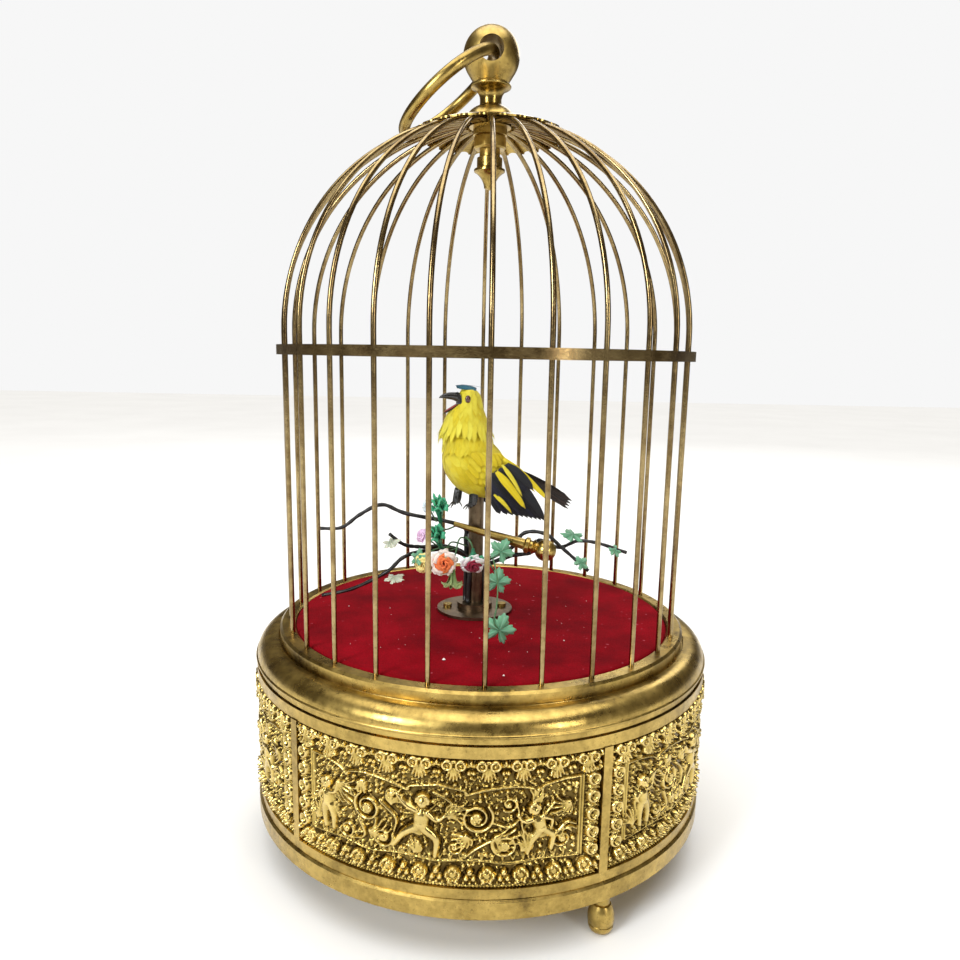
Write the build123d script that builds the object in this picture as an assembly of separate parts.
"""Table-top singing-bird cage: embossed brass drum with a clockwork, domed cage of 26 bars, and a bird.

Millimetres. The origin is on the table, on the cage's axis. +Z is up, and the viewer stands at -Y.
"""
from build123d import *
import math
import os

# ---------------------------------------------------------------- driving dimensions
FOOT_H = 13.5
FOOT_RING_R = 77.3
FOOT_BALL_R = 4.2
FOOT_STUD_R = 1.0
FOOT_AZIMUTHS = (30.0, 150.0, 270.0)

RIM_TOP = 20.0
RIM_R = 81.8
RIM_INNER_R = 76.0
LEDGE_R = 72.0
COVER_Z = (14.5, 16.0)
COVER_R = 75.6

DRUM_TOP = 67.5
DRUM_INNER_R = 78.0
DRUM_R = 79.6
STRIP_R = 81.0
BAND_Z = (23.3, 63.9)
PANEL_R = 80.9
DIVIDER_R = 81.4
DIVIDER_WIDTH = 3.0
PANELS = 5
FIRST_DIVIDER = 27.6

GROOVE_TOP = 69.8
MOULDING_TOP = 76.1
FLANGE_R = 66.0
LIP_TOP = 80.1
LIP_R = 72.9
LIP_INNER_R = 67.6
LIP_RIVET_RING_R = 71.2
LIP_RIVET_AZIMUTHS = (7.5, 127.5, 247.5)
FLOOR_R = 67.4
PLATE_TOP = 78.6
VELVET_TOP = 80.4

BARS = 26
BAR_R = 0.8
BAR_RING_R = 69.2
BAR_FOOT_Z = 77.1
BAR_START = 1.1
BAR_END_R = 8.5
DOME_Z = 180.7
HOOP_Z = (173.4, 176.6)
HOOP_R = 71.4

CAP_R = 25.5
CAP_THICK = 0.5
CAP_TOP = 250.65
CAP_SEAT = (250.05, 8.2)
STEM_FOOT = 237.6
BALL_Z = 270.6
BALL_R = 9.3
BALL_HOLE_R = 4.0
RING_R = 19.0
RING_WIRE_R = 1.9
RING_OFFSET = 17.9
RING_DROOP = 39.3

POST_XY = (-2.6, 2.9)
POST_R = 2.8
POST_BORE_R = 1.75
POST_Z = (70.0, 128.0)
WIRE_OFFSET = 0.9
WIRE_R = 0.4
WIRE_BORE_R = 0.6
WIRE_FOOT_Z = 58.7
TWIG_R = 0.8

BIRD_YAW = 12.0
BODY_CENTRE = (-0.4, 134.5)
BODY_SEMI = (13.6, 10.2)
BODY_TILT = 40.0
NECK_Z = 146.1
NECK_GAP = 0.3
HEAD_X = -3.7
BEAK_PIVOT = (-6.3, 156.2)
TAIL_PIVOT = (14.2, 133.6)

SCREW_HEAD_R = 1.6
SCREW_R = 1.0
FIT = 0.03
RUN = 0.05

LOWER_PLATE_Z = (22.0, 24.0)
UPPER_PLATE_Z = (44.0, 46.0)
PLATE_SIZE = (96.0, 84.0)
PLATE_X = -2.0
PILLARS = ((-42.0, -34.0), (-42.0, 34.0), (38.0, -34.0), (38.0, 34.0))

PRESSURE_ANGLE = math.radians(25)
ADDENDUM = 0.7
DEDENDUM = 0.95
THINNING = 0.05
GREAT_TEETH, CAM_PINION_TEETH, GREAT_MODULE = 60, 12, 0.7
CAM_TEETH, THIRD_PINION_TEETH, CAM_MODULE = 48, 12, 0.5
THIRD_TEETH, FAN_PINION_TEETH, THIRD_MODULE = 40, 10, 0.45
CAM_DIRECTION, THIRD_DIRECTION, FAN_DIRECTION = 270.0, 200.0, 160.0
ARBOR_R = 2.5
THIN_ARBOR_R = 1.2
CAM_R = 9.2

KEY_PIVOT_Z = 8.7
LEVER_PIVOT = (-9.0, 57.7)
SLIDE_Y = -56.0
BELLOWS_HINGE = (14.0, 51.0)
BELLOWS_TILT = 12.0
WHISTLE_Y = 30.0
WHISTLE_R = 4.0

parts = {}


# ---------------------------------------------------------------- helpers
def polar(radius, degrees, start=(0.0, 0.0)):
    """The point at a radius and a direction, counted from +X."""
    a = math.radians(degrees)
    return start[0] + radius * math.cos(a), start[1] + radius * math.sin(a)


def azimuth_point(radius, azimuth):
    """The point at an azimuth counted from the front (-Y) towards +X."""
    return polar(radius, azimuth - 90)


def disc(x, y, z0, z1, radius):
    """An upright cylinder between two heights."""
    return Pos(x, y, z0) * Cylinder(radius, z1 - z0, align=(Align.CENTER, Align.CENTER, Align.MIN))


def ring(z0, z1, outer, inner, x=0.0, y=0.0):
    """An upright tube between two heights."""
    return disc(x, y, z0, z1, outer) - disc(x, y, z0 - 1, z1 + 1, inner)


def block(x0, x1, y0, y1, z0, z1):
    """A box between two corners."""
    return Pos(x0, y0, z0) * Box(x1 - x0, y1 - y0, z1 - z0, align=(Align.MIN,) * 3)


def turned(points):
    """A solid turned about Z from an outline of (radius, height) points."""
    return revolve(Plane.XZ * make_face(Polyline(*points, close=True)), Axis.Z)


def turned_edges(*edges):
    """A solid turned about Z from outline edges drawn as (radius, height)."""
    return revolve(Plane.XZ * make_face(edges), Axis.Z)


def cross_pin(x, z, radius, y0, y1):
    """A cylinder along Y."""
    return Pos(x, y0, z) * Rot(-90, 0, 0) * Cylinder(
        radius, y1 - y0, align=(Align.CENTER, Align.CENTER, Align.MIN)
    )


def bird_place(shape):
    """Move a shape from the bird's own frame, which faces -X with the post on Z, to the cage's frame."""
    return Pos(POST_XY[0], POST_XY[1], 0) * Rot(0, 0, BIRD_YAW) * shape


def bird_point(x, y=0.0):
    """Where a point of the bird's own frame is in the cage's frame."""
    a = math.radians(BIRD_YAW)
    return (
        POST_XY[0] + x * math.cos(a) - y * math.sin(a),
        POST_XY[1] + x * math.sin(a) + y * math.cos(a),
    )


def tube_along(points, radius, bend):
    """A round wire along straight runs joined by arcs."""
    path = FilletPolyline(*points, radius=bend)
    start = Plane(origin=path @ 0, z_dir=path % 0)
    return sweep(start * Circle(radius), path=path)


def screw(x, y, z, up):
    """A small pan-head screw whose head rests on height z. up is +1 if the head stands above z."""
    head = disc(x, y, z if up > 0 else z - 1.3, z + 1.3 if up > 0 else z, SCREW_HEAD_R)
    shank = disc(x, y, z - 3.1 if up > 0 else z, z if up > 0 else z + 3.1, SCREW_R)
    slot = block(x - 2, x + 2, y - 0.2, y + 0.2, z + 0.8, z + 2) if up > 0 else block(
        x - 2, x + 2, y - 0.2, y + 0.2, z - 2, z - 0.8
    )
    return head + shank - slot


def group(shapes):
    """Several separate solids that share one node."""
    return Compound(children=[s for shape in shapes for s in shape.solids()])


# ---------------------------------------------------------------- drum and feet
def make_base():
    """The plain rim under the drum, its three ball feet and the screwed bottom cover."""
    feet_xy = [azimuth_point(FOOT_RING_R, a) for a in FOOT_AZIMUTHS]
    screws_xy = [azimuth_point(74.0, a + 60) for a in FOOT_AZIMUTHS]
    rim = turned([
        (RIM_INNER_R, FOOT_H), (RIM_R - 0.6, FOOT_H), (RIM_R, FOOT_H + 0.6), (RIM_R, RIM_TOP - 0.6),
        (RIM_R - 0.6, RIM_TOP), (RIM_INNER_R, RIM_TOP), (RIM_INNER_R, COVER_Z[1] + 2),
        (LEDGE_R, COVER_Z[1] + 2), (LEDGE_R, COVER_Z[1]), (RIM_INNER_R, COVER_Z[1]),
    ])
    for x, y in feet_xy:
        rim -= disc(x, y, FOOT_H - 1, FOOT_H + 3.2, FOOT_STUD_R + FIT)
    for x, y in screws_xy:
        rim -= disc(x, y, COVER_Z[1] - 0.5, COVER_Z[1] + 1.7, SCREW_R + FIT)
    parts["base_rim"] = rim

    foot = turned_edges(
        Line((0, 0), (2.0, 0)),
        ThreePointArc((2.0, 0), (3.4, 1.0), (3.95, 2.8)),
        Line((3.95, 2.8), (3.75, 3.0)),
        Line((3.75, 3.0), (4.0, 3.3)),
        ThreePointArc((4.0, 3.3), (FOOT_BALL_R - 0.1, 6.0), (2.9, 9.6)),
        Line((2.9, 9.6), (2.3, 9.8)),
        Line((2.3, 9.8), (2.6, 10.1)),
        Line((2.6, 10.1), (2.6, FOOT_H)),
        Line((2.6, FOOT_H), (FOOT_STUD_R, FOOT_H)),
        Line((FOOT_STUD_R, FOOT_H), (FOOT_STUD_R, FOOT_H + 3)),
        Line((FOOT_STUD_R, FOOT_H + 3), (0, FOOT_H + 3)),
        Line((0, FOOT_H + 3), (0, 0)),
    )
    parts["ball_feet"] = group([Pos(x, y, 0) * foot for x, y in feet_xy])

    cover = disc(0, 0, *COVER_Z, COVER_R) - disc(0, 0, 10, 20, ARBOR_R + 1)
    for x, y in screws_xy:
        cover -= disc(x, y, 10, 20, SCREW_R + FIT)
    cover -= block(-8, 8, SLIDE_Y - 1.8, SLIDE_Y + 1.8, 10, 20)
    cover += disc(14, 6, COVER_Z[1], 21, 1.0)
    parts["bottom_cover"] = cover
    return [screw(x, y, COVER_Z[0], -1) for x, y in screws_xy]


def arc_wall(inner, outer, z0, z1, middle, sweep_deg):
    """A piece of a round wall, centred on an azimuth."""
    half = sweep_deg / 2
    start, mid, end = middle - half, middle, middle + half
    face = make_face([
        ThreePointArc(azimuth_point(outer, start), azimuth_point(outer, mid), azimuth_point(outer, end)),
        Line(azimuth_point(outer, end), azimuth_point(inner, end)),
        ThreePointArc(azimuth_point(inner, end), azimuth_point(inner, mid), azimuth_point(inner, start)),
        Line(azimuth_point(inner, start), azimuth_point(outer, start)),
    ])
    return extrude(Pos(0, 0, z0) * face, z1 - z0)


def make_drum():
    """The drum tube with its five embossed panels and the strips between them."""
    parts["drum_shell"] = turned([
        (DRUM_INNER_R, RIM_TOP), (STRIP_R, RIM_TOP), (STRIP_R, BAND_Z[0]), (DRUM_R, BAND_Z[0]),
        (DRUM_R, BAND_Z[1]), (STRIP_R, BAND_Z[1]), (STRIP_R, DRUM_TOP), (DRUM_INNER_R, DRUM_TOP),
    ])
    step = 360 / PANELS
    divider = math.degrees(DIVIDER_WIDTH / DIVIDER_R)
    gap = 0.1
    panels, strips = [], []
    for i in range(PANELS):
        middle = FIRST_DIVIDER + i * step
        strips.append(arc_wall(DRUM_R + FIT, DIVIDER_R, BAND_Z[0] + FIT, BAND_Z[1] - FIT, middle, divider))
        panels.append(arc_wall(
            DRUM_R + FIT, PANEL_R, BAND_Z[0] + FIT, BAND_Z[1] - FIT, middle + step / 2, step - divider - gap
        ))
    parts["embossed_panels"] = group(panels)
    parts["divider_strips"] = group(strips)


def make_mouldings():
    """The rounded moulding on top of the drum and the lip ring that seats the bars."""
    parts["torus_moulding"] = turned_edges(
        Line((75, DRUM_TOP), (79.4, DRUM_TOP)),
        Line((79.4, DRUM_TOP), (79.4, 68.0)),
        Line((79.4, 68.0), (80.4, 68.0)),
        Line((80.4, 68.0), (80.4, GROOVE_TOP)),
        ThreePointArc((80.4, GROOVE_TOP), (81.3, 70.3), (80.8, 70.9)),
        ThreePointArc((80.8, 70.9), (79.0, 74.6), (74.2, MOULDING_TOP)),
        Line((74.2, MOULDING_TOP), (73.5, MOULDING_TOP)),
        Line((73.5, MOULDING_TOP), (73.2, 75.6)),
        Line((73.2, 75.6), (LIP_R - 0.1, 75.6)),
        Line((LIP_R - 0.1, 75.6), (LIP_R - 0.3, MOULDING_TOP)),
        Line((LIP_R - 0.3, MOULDING_TOP), (FLANGE_R, MOULDING_TOP)),
        Line((FLANGE_R, MOULDING_TOP), (FLANGE_R, 73.6)),
        Line((FLANGE_R, 73.6), (73, 73.6)),
        Line((73, 73.6), (75, 71.5)),
        Line((75, 71.5), (75, DRUM_TOP)),
    )
    lip = turned([
        (LIP_INNER_R, MOULDING_TOP), (LIP_R, MOULDING_TOP), (LIP_R, 79.3), (72.1, LIP_TOP),
        (68.2, LIP_TOP), (LIP_INNER_R, 79.6),
    ])
    for i in range(BARS):
        x, y = azimuth_point(BAR_RING_R, BAR_START + i * 360 / BARS)
        lip -= disc(x, y, BAR_FOOT_Z, LIP_TOP + 1, BAR_R + FIT)
    rivets = []
    for a in LIP_RIVET_AZIMUTHS:
        x, y = azimuth_point(LIP_RIVET_RING_R, a)
        lip -= disc(x, y, LIP_TOP - 2, LIP_TOP + 1, 0.5 + FIT)
        rivets.append(disc(x, y, LIP_TOP - 2, LIP_TOP, 0.5) + disc(x, y, LIP_TOP, LIP_TOP + 0.5, 0.9))
    parts["lip_ring"] = lip
    parts["lip_rivets"] = group(rivets)


def make_floor():
    """The floor plate, its velvet and the flange that holds the post."""
    px, py = POST_XY
    plate = disc(0, 0, MOULDING_TOP, PLATE_TOP, FLOOR_R) - disc(px, py, 70, 90, POST_R + FIT)
    velvet = disc(0, 0, PLATE_TOP, VELVET_TOP, FLOOR_R) - disc(px, py, 70, 90, POST_R + FIT)
    flange = disc(px, py, VELVET_TOP, VELVET_TOP + 1, 14)
    flange += disc(px, py, VELVET_TOP + 1, VELVET_TOP + 3.2, 6.5)
    flange = flange - disc(px, py, 70, 90, POST_R + FIT)
    screws = []
    for direction in (185, 5):
        x, y = polar(10.2, direction, POST_XY)
        hole = disc(x, y, VELVET_TOP - 2.2, VELVET_TOP + 2, SCREW_R + FIT)
        plate -= hole
        velvet -= hole
        flange -= hole
        screws.append(screw(x, y, VELVET_TOP + 1, 1))
    parts["floor_plate"] = plate
    parts["velvet_floor"] = velvet
    parts["flange_plate"] = flange
    return screws


# ---------------------------------------------------------------- cage
def make_cage():
    """The bent bars, the hoop round them and the scalloped cap that gathers them."""
    foot = (BAR_RING_R, 0, BAR_FOOT_Z)
    shoulder = (BAR_RING_R, 0, DOME_Z)
    end_angle = math.degrees(math.acos(BAR_END_R / BAR_RING_R))
    middle = polar(BAR_RING_R, end_angle / 2)
    end = polar(BAR_RING_R, end_angle)
    path = Wire([
        Line(foot, shoulder),
        ThreePointArc(shoulder, (middle[0], 0, DOME_Z + middle[1]), (end[0], 0, DOME_Z + end[1])),
    ])
    bar = sweep(Plane(origin=foot, z_dir=(0, 0, 1)) * Circle(BAR_R), path=path)
    parts["cage_bars"] = group(
        [Rot(0, 0, BAR_START - 90 + i * 360 / BARS) * bar for i in range(BARS)]
    )
    parts["band_hoop"] = ring(*HOOP_Z, HOOP_R, BAR_RING_R + BAR_R + FIT)

    inner = BAR_RING_R + BAR_R + RUN
    shell = Pos(0, 0, DOME_Z) * (Sphere(inner + CAP_THICK) - Sphere(inner))
    cap = shell & disc(0, 0, DOME_Z + 50, CAP_TOP, CAP_R)
    cap += disc(0, 0, CAP_SEAT[0], CAP_TOP, CAP_SEAT[1])
    cap -= disc(0, 0, DOME_Z, CAP_TOP + 1, 2 + RUN)
    for i in range(BARS):
        x, y = azimuth_point(CAP_R + 0.7, BAR_START + (i + 0.5) * 360 / BARS)
        cap -= disc(x, y, DOME_Z, CAP_TOP, 2.0)
    parts["cap_plate"] = cap


def make_finial():
    """The turned top knob, its clamp under the cap and the ring to carry the cage by."""
    body = turned_edges(
        Line((0, STEM_FOOT), (2, STEM_FOOT)),
        Line((2, STEM_FOOT), (2, CAP_TOP)),
        Line((2, CAP_TOP), (8.6, CAP_TOP)),
        Line((8.6, CAP_TOP), (8.6, 251.2)),
        ThreePointArc((8.6, 251.2), (6.9, 253.6), (3.9, 255.4)),
        Line((3.9, 255.4), (3.6, 255.8)),
        Line((3.6, 255.8), (3.6, 257.4)),
        ThreePointArc((3.6, 257.4), (4.4, 259.6), (6.4, 260.9)),
        ThreePointArc((6.4, 260.9), (6.75, 261.5), (6.3, 262.0)),
        Line((6.3, 262.0), (5.7, 262.3)),
        Line((5.7, 262.3), (7.9, 265.7)),
        Line((7.9, 265.7), (0, 265.7)),
        Line((0, 265.7), (0, STEM_FOOT)),
    )
    body += Pos(0, 0, BALL_Z) * Sphere(BALL_R)
    parts["finial"] = body - cross_pin(0, BALL_Z, BALL_HOLE_R, -12, 12)
    parts["clamp_washer"] = ring(248.7, CAP_SEAT[0], 7.0, 2 + RUN)
    parts["dome_nut"] = turned([
        (2 + RUN, 241.9), (4.9, 241.9), (5.4, 242.4), (5.4, 245.6), (5.0, 245.9), (5.7, 246.2),
        (5.7, 248.7), (2 + RUN, 248.7),
    ])
    drop = turned_edges(
        Line((0, STEM_FOOT - RUN), (2 + RUN, STEM_FOOT - RUN)),
        Line((2 + RUN, STEM_FOOT - RUN), (2 + RUN, 241.8)),
        Line((2 + RUN, 241.8), (3.45, 241.8)),
        Line((3.45, 241.8), (3.45, 239.6)),
        Line((3.45, 239.6), (4.25, 239.2)),
        Line((4.25, 239.2), (4.25, 236.2)),
        Line((4.25, 236.2), (5.2, 235.6)),
        Line((5.2, 235.6), (5.2, 234.9)),
        ThreePointArc((5.2, 234.9), (2.9, 232.9), (1.7, 229.6)),
        Line((1.7, 229.6), (0, 229)),
        Line((0, 229), (0, STEM_FOOT - RUN)),
    )
    parts["drop_finial"] = drop

    droop = math.radians(RING_DROOP)
    centre = (-RING_OFFSET * math.cos(droop), 0, BALL_Z - RING_OFFSET * math.sin(droop))
    normal = (-math.sin(droop), 0, math.cos(droop))
    parts["carry_ring"] = Plane(origin=centre, z_dir=normal) * Torus(RING_R, RING_WIRE_R)


# ---------------------------------------------------------------- post, perch and foliage
def make_post():
    """The hollow post that carries the bird and the branches."""
    px, py = POST_XY
    tube = disc(px, py, *POST_Z, POST_R) + disc(px, py, 73, MOULDING_TOP, 5)
    parts["post_tube"] = tube - disc(px, py, 60, 140, POST_BORE_R)


def make_perch():
    """A tapered turned rod, clipped to the front of the post, with grooved rings and a ball end."""
    start = Vector(-10.5, -0.7, 113.8)
    finish = Vector(22.6, -6.4, 105.8)
    along = (finish - start).length
    rod = turned_edges(
        Line((0, 0), (0.9, 0)),
        Line((0.9, 0), (2.0, along - 8)),
        Line((2.0, along - 8), (2.9, along - 7.4)),
        Line((2.9, along - 7.4), (2.9, along - 6.2)),
        Line((2.9, along - 6.2), (2.1, along - 5.8)),
        Line((2.1, along - 5.8), (2.1, along - 5.0)),
        Line((2.1, along - 5.0), (2.9, along - 4.6)),
        Line((2.9, along - 4.6), (2.0, along - 3.6)),
        Line((2.0, along - 3.6), (2.0, along)),
        Line((2.0, along), (0, along)),
        Line((0, along), (0, 0)),
    )
    rod += Pos(0, 0, along) * Sphere(3.9)
    parts["perch_rod"] = Plane(origin=start, z_dir=finish - start) * rod


def make_branches():
    """Five black wires, bound to the post and bent outwards."""
    beside = POST_R + TWIG_R + RUN
    runs = {
        180: [(-8.4, 2.7, 112.5), (-27.7, -2, 117.5), (-36.4, -4, 121), (-44.2, -5, 117.4),
              (-50.6, -6, 112.8), (-58.2, -6, 112.3)],
        225: [(-12, -1.6, 105.2), (-21.8, -4, 105.7), (-28, -8, 107.4), (-32.7, -12, 112)],
        135: [(-12, 2.4, 103.2), (-21.8, -2.6, 103.8), (-28.6, -7, 102.3), (-34.4, -10, 97.5),
              (-47.1, -7, 90.3), (-58.5, -4, 86.8)],
        0: [(10.3, 0.4, 104.6), (15.2, -0.6, 110.8), (22.7, -2.4, 111), (29, -4.6, 106.2),
            (38.2, -8, 98.9)],
        45: [(10, 4.4, 100.6), (18, 3.6, 102.5), (21, 4.4, 107), (28.5, 4.4, 104.4), (35.3, 5, 106.8),
             (43, 6, 106), (54.1, 6, 102.5)],
    }
    rise = {180: 106.0, 225: 100.0, 135: 98.0, 0: 98.0, 45: 95.0}
    wires = []
    for direction, points in runs.items():
        x, y = polar(beside, direction, POST_XY)
        wires.append(tube_along([(x, y, 86), (x, y, rise[direction])] + points, TWIG_R, 2.0))
    parts["branch_wires"] = group(wires)


def leaf(x, y, z, radius, tilt):
    """A five-lobed ivy leaf that faces the front."""
    outline = [polar(radius * (1.0 if i % 2 == 0 else 0.62), 90 + i * 36) for i in range(10)]
    face = Plane.XZ * make_face(Polyline(*outline, close=True))
    return Pos(x, y, z) * Rot(0, 0, tilt) * extrude(face, 0.6)


def make_foliage():
    """Plain outer shapes of the cloth leaves, silk roses and waxed buds."""
    parts["leaves"] = group([
        leaf(6.1, -11, 106.0, 4.4, 8), leaf(6.2, -12, 93.8, 4.8, -6), leaf(5.9, -38, 86.0, 4.8, 0),
        leaf(37.5, 1.6, 110.2, 4.4, 5), leaf(37.7, -10.4, 103.4, 3.4, -8), leaf(57.6, 6, 101.5, 2.6, 0),
        leaf(-35.4, -13, 97.6, 3.2, 0), leaf(-24, -12, 107.6, 3.2, 0), leaf(-36.6, -12, 112.6, 3.2, 0),
    ])
    parts["roses"] = group([
        Pos(-14, -13, 103) * Sphere(5),
        Pos(-3.2, -13, 103) * Sphere(5),
        Pos(-23.1, -11, 98.7) * Sphere(3.6),
        Pos(-22.5, -9.4, 111.4) * Sphere(2.4),
        Pos(-21, -5, 122) * Sphere(2.2),
    ])
    upright = turned_edges(
        Line((0, -5), (0.5, -5)),
        Spline((0.5, -5), (3.0, -1), (0.3, 5)),
        Line((0.3, 5), (0, 5)),
        Line((0, 5), (0, -5)),
    )
    parts["buds"] = group([
        Pos(-15.9, -6.5, 121.6) * upright, Pos(-14.9, -12, 113.6) * upright, Pos(-10, -14, 93) * upright,
    ])


# ---------------------------------------------------------------- bird
def make_bird():
    """The bird: body, head, beak, eyes, crest, wings, tail, legs and the two push wires."""
    bx, bz = BODY_CENTRE
    arc = EllipticalCenterArc((0, 0), *BODY_SEMI, start_angle=4, arc_size=172)
    front, back = (arc @ 1).X, (arc @ 0).X
    half = make_face([
        arc, Line(arc @ 1, (front, 0)), Line((front, 0), (back, 0)), Line((back, 0), arc @ 0),
    ])
    body = Pos(bx, 0, bz) * Rot(0, BODY_TILT, 0) * revolve(half, Axis.X)
    body -= block(-30, 30, -20, 20, NECK_Z, NECK_Z + 20)
    tx, tz = TAIL_PIVOT
    tab = block(tx - 5, tx + 1.2, -0.6, 0.6, tz - 1.4, tz + 1.4)
    body = body + tab - cross_pin(tx, tz, 0.5 + RUN, -2, 2)
    body -= disc(0, 0, 110, POST_Z[1], POST_R + FIT)
    body -= disc(-WIRE_OFFSET, 0, POST_Z[1] - 1, NECK_Z + 1, WIRE_BORE_R)
    body -= disc(-WIRE_OFFSET, 0, NECK_Z - 4.4, NECK_Z + 1, 2 + RUN)
    body -= disc(WIRE_OFFSET, 0, POST_Z[1] - 1, 133, WIRE_BORE_R)
    parts["bird_body"] = bird_place(body)

    low = NECK_Z + NECK_GAP
    head = Pos(HEAD_X, 0, 0) * turned_edges(
        Line((0, low), (8.4, low)),
        Spline((8.4, low), (6.6, 151.6), (4.7, 156.6), (4.1, 160.6), (0.6, 163)),
        Line((0.6, 163), (0, 163)),
        Line((0, 163), (0, low)),
    )
    head += disc(-WIRE_OFFSET, 0, NECK_Z - 4, low + 1, 2)
    head -= disc(-WIRE_OFFSET, 0, NECK_Z - 5, 151, WIRE_BORE_R)
    head -= block(HEAD_X - 9, 0.4, -1.5, 1.5, 150, 158)
    px, pz = BEAK_PIVOT
    head -= cross_pin(px, pz, 0.5 + RUN, -6, 6)
    eye_centres = [(HEAD_X - 0.6, side * 4.6, 158.8) for side in (-1, 1)]
    for centre in eye_centres:
        head -= Pos(*centre) * Sphere(0.9 + FIT)
    parts["bird_head"] = bird_place(head)

    jaw = make_face(Polyline(
        (px - 6.4, pz - 2.7), (px - 6.2, pz - 2.0), (px - 0.3, pz + 0.9), (px + 0.9, pz + 0.5),
        (px + 4.4, pz - 0.6), (px + 4.4, pz - 1.6), (px + 0.4, pz - 1.0), (px - 2.4, pz - 2.4), close=True,
    ))
    jaw = extrude(Plane.XZ * jaw, 1.1, both=True) + cross_pin(px, pz, 0.5, -2.6, 2.6)
    parts["lower_beak"] = bird_place(jaw)

    beak = turned_edges(
        Line((0, 0), (1.6, 0)), Spline((1.6, 0), (1.2, 3.2), (0.2, 6.4)), Line((0.2, 6.4), (0, 6.4)),
        Line((0, 6.4), (0, 0)),
    )
    parts["upper_beak"] = bird_place(Plane(origin=(HEAD_X - 4.6, 0, 160.0), z_dir=(-1, 0, -0.08)) * beak)
    parts["eyes"] = group([bird_place(Pos(*centre) * Sphere(0.9)) for centre in eye_centres])
    crest = extrude(make_face(Polyline(
        (-9, 0), (-5, 1.6), (2, 1.2), (3, 0), (2, -1.2), (-5, -1.6), close=True
    )), 0.5)
    parts["crest_feather"] = bird_place(Pos(HEAD_X + 1, 0, 163.2) * crest)

    wing = Plane.XZ * make_face([
        ThreePointArc((-4.5, 135), (10, 132), (23.5, 115.5)),
        ThreePointArc((23.5, 115.5), (5, 119.8), (-4.5, 135)),
    ])
    parts["wing_left"] = bird_place(Pos(0, -10.5, 0) * extrude(wing, 1.4))
    parts["wing_right"] = bird_place(Pos(0, 11.9, 0) * extrude(wing, 1.4))

    tail = make_face(Polyline(
        (0, 1.3), (9, -1.2), (24, -11.0), (23.4, -13.4), (7, -6.0), (0, -1.3), close=True
    ))
    tail = Pos(tx, 0, tz) * extrude(Plane.XZ * tail, 4.2, both=True)
    tail += cross_pin(tx, tz, 1.6, -4.2, 4.2)
    tail -= cross_pin(tx, tz, 2.3, -0.9, 0.9)
    tail += cross_pin(tx, tz, 0.5, -1.4, 1.4)
    parts["tail_feathers"] = bird_place(tail)

    legs = []
    for side in (-1, 1):
        leg = disc(-5.2, side * 4.2, 118.2, 122.2, 0.7)
        for toe in (150, 180, 210):
            leg += Pos(-5.2, side * 4.2, 118.4) * Rot(0, 0, toe) * Rot(0, 90, 0) * Cylinder(
                0.5, 4.4, align=(Align.CENTER, Align.CENTER, Align.MIN)
            )
        legs.append(bird_place(leg))
    parts["bird_legs"] = group(legs)

    parts["beak_wire"] = disc(*bird_point(-WIRE_OFFSET), WIRE_FOOT_Z, 153.4, WIRE_R)
    parts["tail_wire"] = disc(*bird_point(WIRE_OFFSET), WIRE_FOOT_Z, 131, WIRE_R)


# ---------------------------------------------------------------- clockwork
def involute(angle):
    """How far an involute flank has turned at a pressure angle."""
    return math.tan(angle) - angle


def gear(teeth, module, phase):
    """A spur gear's face. phase is the direction of one tooth's middle, in degrees."""
    pitch = teeth * module / 2
    base = pitch * math.cos(PRESSURE_ANGLE)
    tip = pitch + ADDENDUM * module
    root = pitch - DEDENDUM * module
    low = max(base, root)
    half = math.pi / (2 * teeth) - THINNING / (2 * pitch) + involute(PRESSURE_ANGLE)
    flank = []
    for i in range(4):
        r = low + (tip - low) * i / 3
        flank.append((r, half - involute(math.acos(min(1.0, base / r)))))
    if root < base:
        flank.insert(0, (root, flank[0][1]))
    points = []
    for i in range(teeth):
        middle = math.radians(phase) + 2 * math.pi * i / teeth
        sides = [(r, middle - a) for r, a in flank] + [(r, middle + a) for r, a in reversed(flank)]
        points += [(r * math.cos(a), r * math.sin(a)) for r, a in sides]
    return make_face(Polyline(*points, close=True))


def gear_at(centre, z0, z1, teeth, module, phase):
    """A spur gear between two heights."""
    return Pos(centre[0], centre[1], z0) * extrude(gear(teeth, module, phase), z1 - z0)


def train_centres():
    """Where the cam, third and fan arbors stand."""
    cam = polar((GREAT_TEETH + CAM_PINION_TEETH) * GREAT_MODULE / 2, CAM_DIRECTION)
    third = polar((CAM_TEETH + THIRD_PINION_TEETH) * CAM_MODULE / 2, THIRD_DIRECTION, cam)
    fan = polar((THIRD_TEETH + FAN_PINION_TEETH) * THIRD_MODULE / 2, FAN_DIRECTION, third)
    return cam, third, fan


def pinion_phase(direction, teeth):
    """The pinion's gap faces back along the line of centres."""
    return direction + 180 + 180 / teeth


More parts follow.
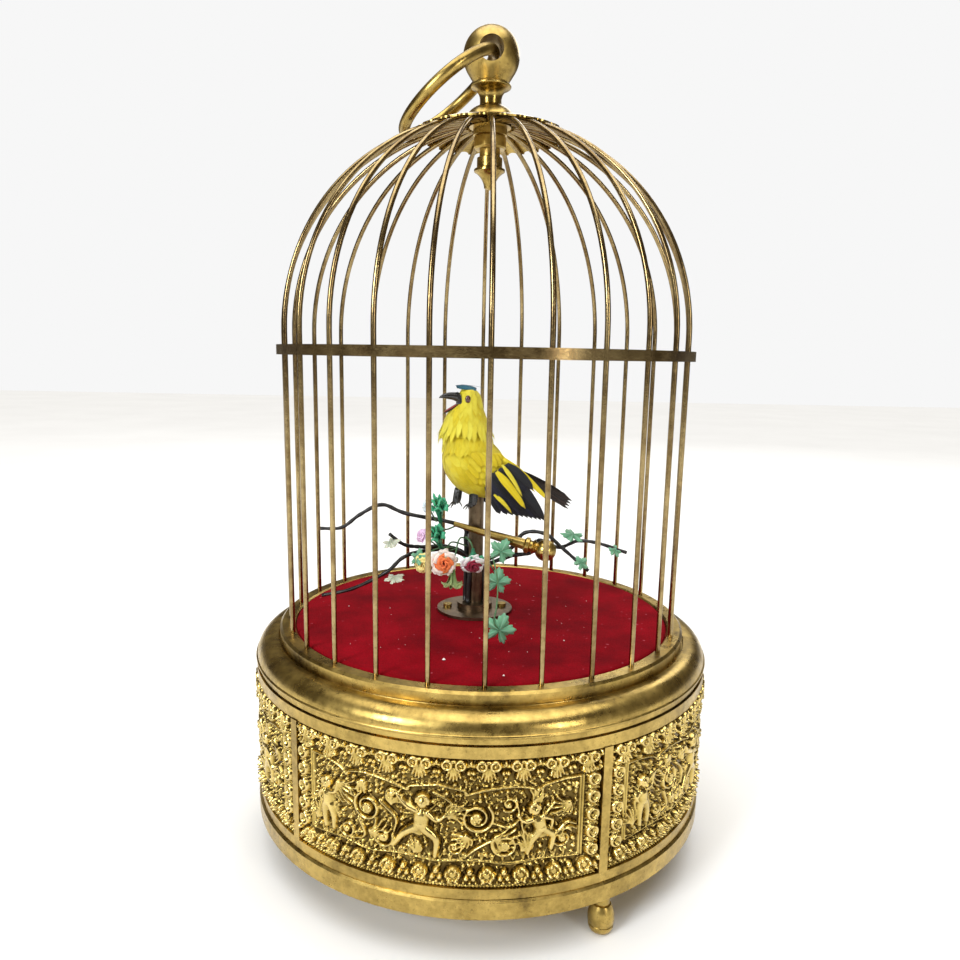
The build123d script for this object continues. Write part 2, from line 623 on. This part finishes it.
def make_plates():
    """The two movement plates and the pillars between them."""
    cam, third, fan = train_centres()
    corner = 6
    outline = Pos(PLATE_X, 0, 0) * RectangleRounded(*PLATE_SIZE, corner)
    plates = {"lower_plate": LOWER_PLATE_Z, "upper_plate": UPPER_PLATE_Z}
    for name, (z0, z1) in plates.items():
        plate = extrude(Pos(0, 0, z0) * outline, z1 - z0)
        plate -= disc(0, 0, z0 - 1, z1 + 1, ARBOR_R + RUN)
        for x, y in (cam, third, fan):
            plate -= disc(x, y, z0 - 1, z1 + 1, THIN_ARBOR_R + RUN)
        for x, y in PILLARS:
            plate -= disc(x, y, z0 - 1, z1 + 1, 1.5 + FIT)
        parts[name] = plate
    top = UPPER_PLATE_Z[1]
    pillar = turned([
        (0, COVER_Z[1]), (3, COVER_Z[1]), (3, LOWER_PLATE_Z[0]), (1.5, LOWER_PLATE_Z[0]),
        (1.5, LOWER_PLATE_Z[1]), (3, LOWER_PLATE_Z[1]), (3, UPPER_PLATE_Z[0]), (1.5, UPPER_PLATE_Z[0]),
        (1.5, top), (2.6, top), (2.6, top + 2), (0, top + 2),
    ])
    parts["plate_pillars"] = group([Pos(x, y, 0) * pillar for x, y in PILLARS])


def make_winding():
    """The winding arbor, the mainspring barrel, the click and the folding key."""
    arbor = disc(0, 0, 11, UPPER_PLATE_Z[1] + 1, ARBOR_R)
    teeth = []
    for i in range(12):
        a = 30 * i
        teeth += [polar(9.0, a), polar(7.4, a + 4)]
    wheel = extrude(Pos(0, 0, 18.5) * make_face(Polyline(*teeth, close=True)), 2)
    parts["winding_arbor"] = arbor + wheel

    barrel = gear_at((0, 0), 25, 27.5, GREAT_TEETH, GREAT_MODULE, CAM_DIRECTION)
    barrel += disc(0, 0, 27.5, 40, 17)
    parts["mainspring_barrel"] = barrel - disc(0, 0, 20, 45, ARBOR_R + RUN)

    pivot = (14.0, 6.0)
    arm = make_face(Polyline((9.9, 0.6), (10.6, 0.2), (15.9, 4.9), (12.6, 7.6), close=True))
    click = extrude(Pos(0, 0, 18.5) * arm, 2) + disc(*pivot, 18.5, 20.5, 2.2)
    parts["ratchet_click"] = click - disc(*pivot, 15, 25, 1.0 + RUN)

    hub = ring(11, 13.9, 5, ARBOR_R + FIT) + block(-2.2, 2.2, -2, 2, 6.8, 11)
    parts["key_hub"] = hub - cross_pin(0, KEY_PIVOT_Z, 0.8 + RUN, -6, 6)
    wing = block(3.2, 24, -6, 6, KEY_PIVOT_Z - 0.8, KEY_PIVOT_Z + 0.8)
    wing -= block(13, 19, -2.5, 2.5, 5, 12)
    for s in (-1, 1):
        ear = cross_pin(0, KEY_PIVOT_Z, 1.9, min(s * 2.3, s * 4.8), max(s * 2.3, s * 4.8))
        arm_y = sorted((s * 2.3, s * 4.8))
        wing += ear + block(0, 3.6, *arm_y, KEY_PIVOT_Z - 0.8, KEY_PIVOT_Z + 0.8)
    parts["key_wing"] = wing + cross_pin(0, KEY_PIVOT_Z, 0.8, -4.8, 4.8)


def make_train():
    """The cam arbor, the third arbor with its crank, and the fan arbor."""
    cam, third, fan = train_centres()
    low = LOWER_PLATE_Z[0] - 1
    cams = disc(0, 0, 50, 55, CAM_R)
    for middle in (0, 75, 130, 210, 290):
        cams += arc_wall(6.5, CAM_R, 54.9, 56.2, middle, 24)
    cam_phase = pinion_phase(CAM_DIRECTION, CAM_PINION_TEETH)
    third_phase = pinion_phase(THIRD_DIRECTION, THIRD_PINION_TEETH)
    fan_phase = pinion_phase(FAN_DIRECTION, FAN_PINION_TEETH)
    parts["cam_arbor"] = (
        disc(*cam, low, 50, THIN_ARBOR_R)
        + gear_at(cam, 24.6, 28, CAM_PINION_TEETH, GREAT_MODULE, cam_phase)
        + gear_at(cam, 41, 43, CAM_TEETH, CAM_MODULE, THIRD_DIRECTION)
        + Pos(cam[0], cam[1], 0) * cams
    )
    crank = disc(*third, 48, 50, 4) + disc(third[0] + 2.6, third[1], 50, 53, 0.8)
    parts["third_arbor"] = (
        disc(*third, low, 48, THIN_ARBOR_R)
        + gear_at(third, 40.6, 43.4, THIRD_PINION_TEETH, CAM_MODULE, third_phase)
        + gear_at(third, 33, 35, THIRD_TEETH, THIRD_MODULE, FAN_DIRECTION)
        + crank
    )
    blades = block(-6.5, 6.5, -0.4, 0.4, 48, 58)
    parts["fan_arbor"] = (
        disc(*fan, low, 56, THIN_ARBOR_R)
        + gear_at(fan, 32, 36, FAN_PINION_TEETH, THIRD_MODULE, fan_phase)
        + Pos(fan[0], fan[1], 0) * blades
    )


def make_levers():
    """Two followers on one pin, from the cam's edge to the feet of the push wires."""
    ly, lz = LEVER_PIVOT
    xs = {"beak_lever": bird_point(-WIRE_OFFSET)[0], "tail_lever": bird_point(WIRE_OFFSET)[0]}
    pin_bore = Pos(0, ly, lz) * Rot(0, 90, 0) * Cylinder(0.8 + RUN, 60)
    for name, x in xs.items():
        bar = block(x - 0.6, x + 0.6, -18.5, 3.9, lz - 0.7, lz + 0.7)
        bar += Pos(x, ly, lz) * Rot(0, 90, 0) * Cylinder(1.6, 1.2)
        parts[name] = bar - pin_bore
    top = UPPER_PLATE_Z[1]
    pin = Pos(-2.6, ly, lz) * Rot(0, 90, 0) * Cylinder(0.8, 10)
    bracket = block(-7.6, -5.6, ly - 2, ly + 2, top, lz + 2)
    bracket += block(0.4, 2.4, ly - 2, ly + 2, top, lz + 2)
    bracket += block(-7.6, 2.4, ly - 2, ly + 2, top, top + 2)
    parts["lever_bracket"] = bracket + pin


def make_bellows():
    """The bellows: fixed board, hinged lid and leather."""
    hx, hz = BELLOWS_HINGE
    top = UPPER_PLATE_Z[1]
    base = block(hx + 3, hx + 40, -15, 15, top + FIT, top + 2.5)
    for s in (-1, 1):
        y = sorted((s * 13, s * 15.5))
        base += block(hx - 2, hx + 4, *y, top + FIT, hz + 2)
    parts["bellows_base"] = base - cross_pin(hx, hz, 0.8 + RUN, -20, 20)
    lid = block(3, 40, -12.6, 12.6, -0.2, 1.8) + cross_pin(0, 0, 1.6, -12.6, 12.6)
    lid += block(0, 4, -12.6, 12.6, -0.2, 1.4) + cross_pin(0, 0, 0.8, -15.5, 15.5)
    parts["bellows_lid"] = Pos(hx, 0, hz) * Rot(0, -BELLOWS_TILT, 0) * lid
    slope = math.tan(math.radians(BELLOWS_TILT))
    floor = top + 2.6
    skin = make_face(Polyline(
        (hx + 5, floor), (hx + 38, floor),
        (hx + 38, hz + 38 * slope - 0.4), (hx + 5, hz + 5 * slope - 0.4), close=True
    ))
    parts["bellows_leather"] = extrude(Plane.XZ * skin, 12.4, both=True)


def make_whistle():
    """The whistle tube and its sliding piston."""
    z = UPPER_PLATE_Z[1] + WHISTLE_R + FIT
    place = Pos(-34, WHISTLE_Y, z) * Rot(0, 90, 0)
    tube = Cylinder(WHISTLE_R, 50, align=(Align.CENTER, Align.CENTER, Align.MIN))
    bore = Pos(0, 0, 2) * Cylinder(WHISTLE_R - 0.8, 50, align=(Align.CENTER, Align.CENTER, Align.MIN))
    mouth = block(-31, -27, WHISTLE_Y - 2, WHISTLE_Y + 2, z + 1, z + 6)
    parts["whistle_tube"] = place * (tube - bore) - mouth
    piston_r = WHISTLE_R - 0.8 - RUN
    piston = Pos(0, 0, 34) * Cylinder(piston_r, 12, align=(Align.CENTER, Align.CENTER, Align.MIN))
    piston += Pos(0, 0, 46) * Cylinder(1, 16, align=(Align.CENTER, Align.CENTER, Align.MIN))
    parts["whistle_piston"] = place * piston


def make_stop_slide():
    """The start and stop slide under the bottom cover."""
    z0 = COVER_Z[1] + 0.2
    bar = block(-17, 7, SLIDE_Y - 4, SLIDE_Y + 4, z0, z0 + 1.5)
    bar += disc(-5, SLIDE_Y, 12.6, z0 + 1, 1.5)
    bar += disc(-5, SLIDE_Y, 9.8, 13.2, 4)
    parts["stop_slide"] = bar


# ---------------------------------------------------------------- build
def build():
    """Every part, in one compound."""
    screws = make_base()
    make_drum()
    make_mouldings()
    screws += make_floor()
    parts["brass_screws"] = group(screws)
    make_cage()
    make_finial()
    make_post()
    make_perch()
    make_branches()
    make_foliage()
    make_bird()
    make_plates()
    make_winding()
    make_train()
    make_levers()
    make_bellows()
    make_whistle()
    make_stop_slide()


build()
os.makedirs("parts", exist_ok=True)
for name, shape in parts.items():
    export_step(shape, f"parts/{name}.step")
print(len(parts), "nodes written")
